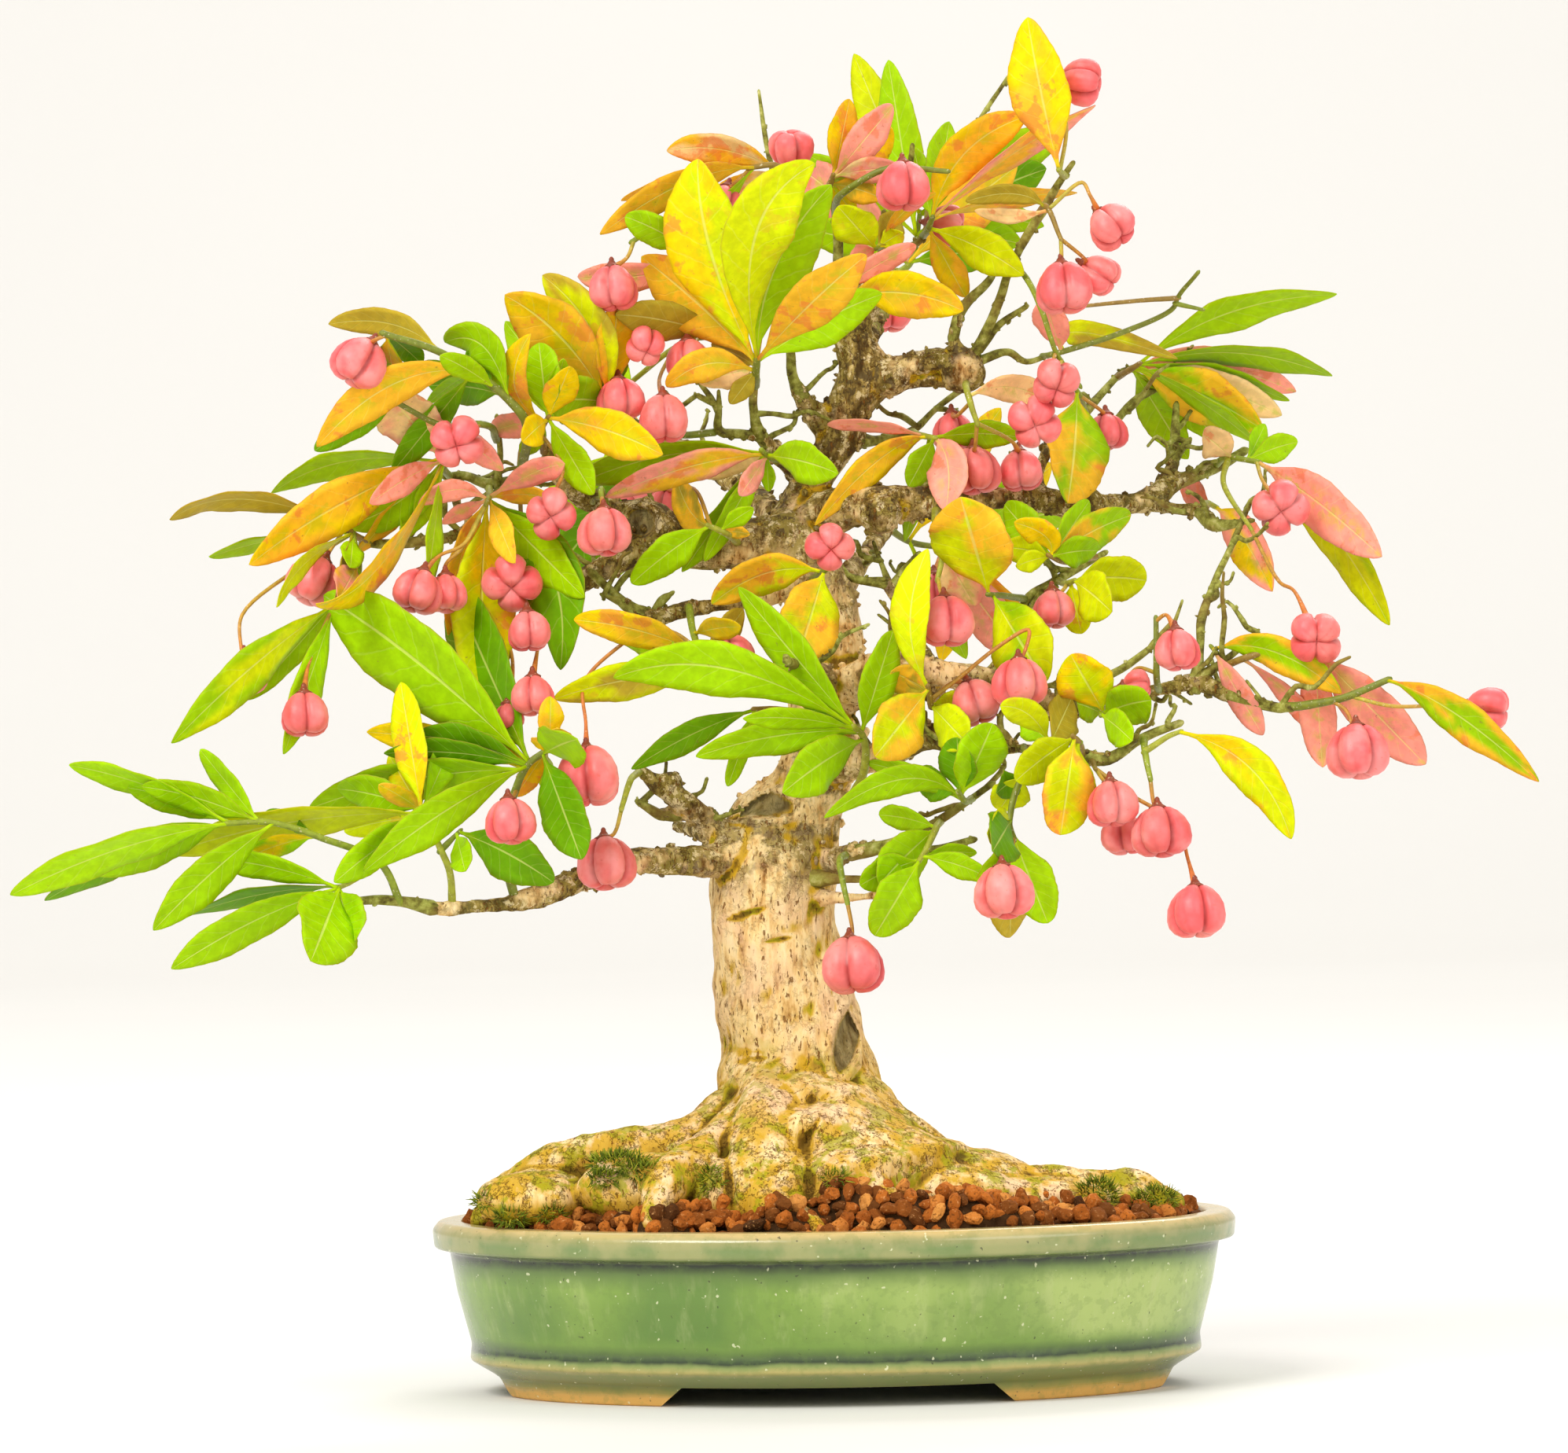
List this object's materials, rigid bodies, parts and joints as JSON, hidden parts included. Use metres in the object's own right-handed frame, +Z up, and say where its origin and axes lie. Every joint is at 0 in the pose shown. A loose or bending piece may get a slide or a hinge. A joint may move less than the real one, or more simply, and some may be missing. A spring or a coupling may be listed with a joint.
{
  "type": "spindle tree bonsai",
  "caption": "Old spindle tree trained as a bonsai, with spreading surface roots, autumn leaves and four-lobed fruits, in a shallow oval glazed pot.",
  "frame": {"origin": "centre of the bounding box at the underside of the pot's feet", "axes": "+X along the pot's length to the right as seen from the front, +Y away from the front, +Z up"},
  "size_m": [0.3498, 0.1954, 0.3214],
  "materials": {
    "glaze": "glazed ceramic, olive green with paler streaks",
    "soil": "fired clay grains, matt",
    "bark": "pale weathered bark with ochre creases",
    "foliage": "leaf surface, satin, green turning yellow, orange and pink",
    "fruit": "capsule skin, satin, coral pink"
  },
  "bodies": {
    "root": {"pot": "glaze", "soil": "soil", "wood": "bark", "leafy_stem_low_left_outer": "foliage", "leafy_stem_low_left_middle": "foliage", "leafy_stem_low_left_upper": "foliage", "leafy_stem_trunk_left": "foliage", "leafy_stem_centre_left": "foliage", "leafy_stem_centre": "foliage", "leafy_stem_trunk_front": "foliage", "leafy_stem_right_inner": "foliage", "leafy_stem_right_arching": "foliage", "leafy_stem_right_lowest": "foliage", "leafy_stem_right_hanging": "foliage", "leafy_stem_right_pair": "foliage", "leafy_stem_right_bright": "foliage", "leafy_stem_right_twin": "foliage", "leafy_stem_right_large": "foliage", "leafy_stem_right_orange": "foliage", "leafy_stem_right_hanging_leaf": "foliage", "leafy_stem_centre_right": "foliage", "bare_stalks_right": "foliage", "leafy_stem_right_top": "foliage", "leafy_stem_right_upper": "foliage", "leafy_stem_right_under": "foliage", "leafy_stem_right_end": "foliage", "leafy_stem_right_pink": "foliage", "leafy_stem_right_yellow": "foliage", "leafy_stem_top_right": "foliage", "leafy_stem_top_middle": "foliage", "leafy_stem_top_orange": "foliage", "leafy_stem_top_small": "foliage", "leafy_stem_top_yellow": "foliage", "leafy_stem_crown_middle": "foliage", "leafy_stem_top_left": "foliage", "leafy_stem_upper_left": "foliage", "leafy_stem_upper_left_olive": "foliage", "leafy_stem_left_yellow_top": "foliage", "leafy_stem_left_orange": "foliage", "leafy_stem_centre_long": "foliage", "leafy_stem_left_inner": "foliage", "leafy_stem_left_long": "foliage", "leafy_stem_left_outer": "foliage", "leafy_stem_left_yellow": "foliage", "leafy_stem_left_large_yellow": "foliage", "leafy_stem_left_dark": "foliage", "fruits_left_cluster": "fruit", "fruit_left_single": "fruit", "fruit_right_red_stalk": "fruit", "fruit_top_twig": "fruit", "fruits_top_right": "fruit", "fruits_right_hanging": "fruit", "fruits_centre_right": "fruit", "fruit_right_side_stalk": "fruit", "fruits_right_low": "fruit", "fruit_trunk_front": "fruit", "fruit_low_left": "fruit", "leafy_stem_far_right": "foliage", "leafy_stem_far_left": "foliage", "leafy_stem_far_top": "foliage"}
  },
  "joints": []
}
